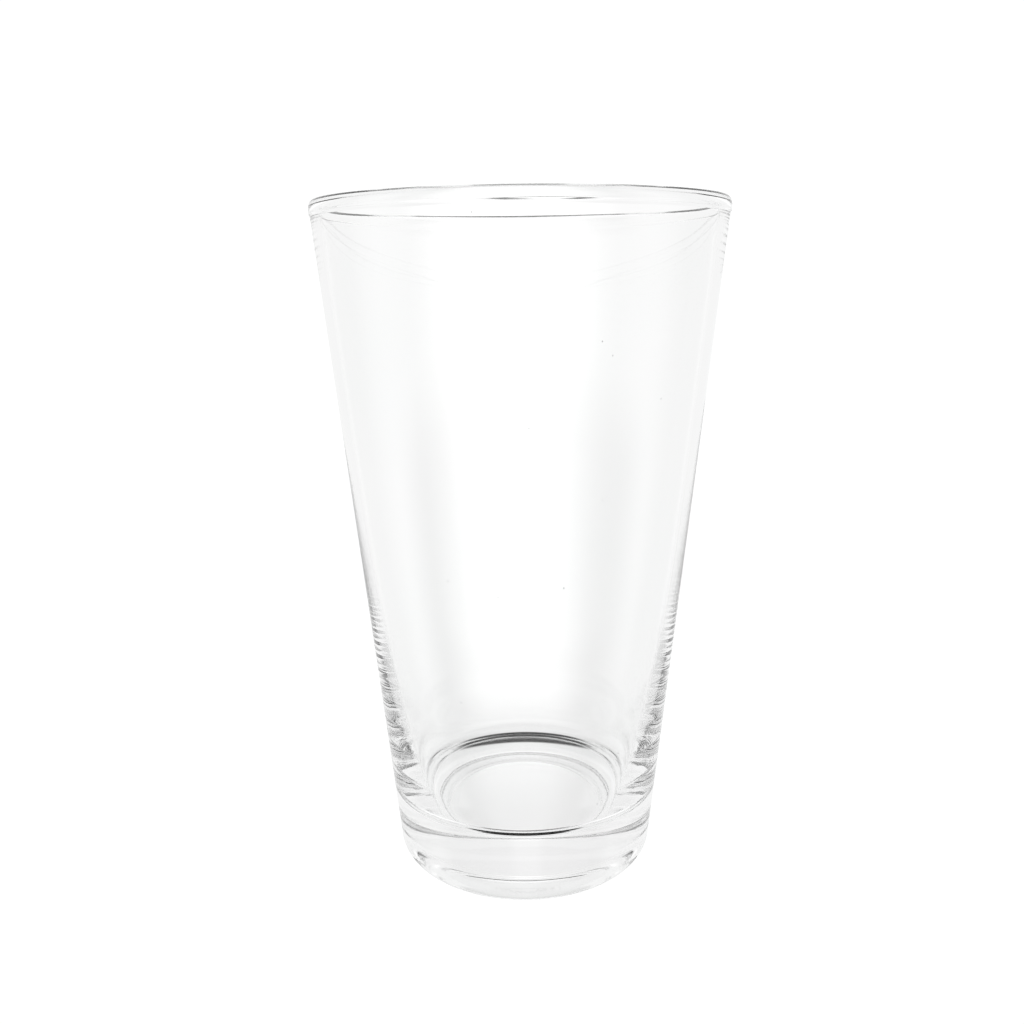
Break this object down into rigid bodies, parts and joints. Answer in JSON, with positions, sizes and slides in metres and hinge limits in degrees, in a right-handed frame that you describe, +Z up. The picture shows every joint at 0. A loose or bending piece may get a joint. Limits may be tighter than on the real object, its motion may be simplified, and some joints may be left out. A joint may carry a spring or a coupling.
{
  "type": "mixing glass",
  "caption": "Conical clear-glass bar mixing tumbler with a rounded rim band, tapering wall, thick solid base, rounded heel and flat foot ring.",
  "frame": {"origin": "centre of the foot ring that the glass stands on, so z = 0 is the table", "axes": "+Z up along the axis of revolution, from the foot to the rim; +X and +Y are equivalent, because the glass is round"},
  "size_m": [0.0888, 0.0888, 0.149],
  "materials": {
    "clear_glass": "clear, fire-polished"
  },
  "bodies": {
    "root": {"glass_body": "clear_glass"}
  },
  "joints": []
}
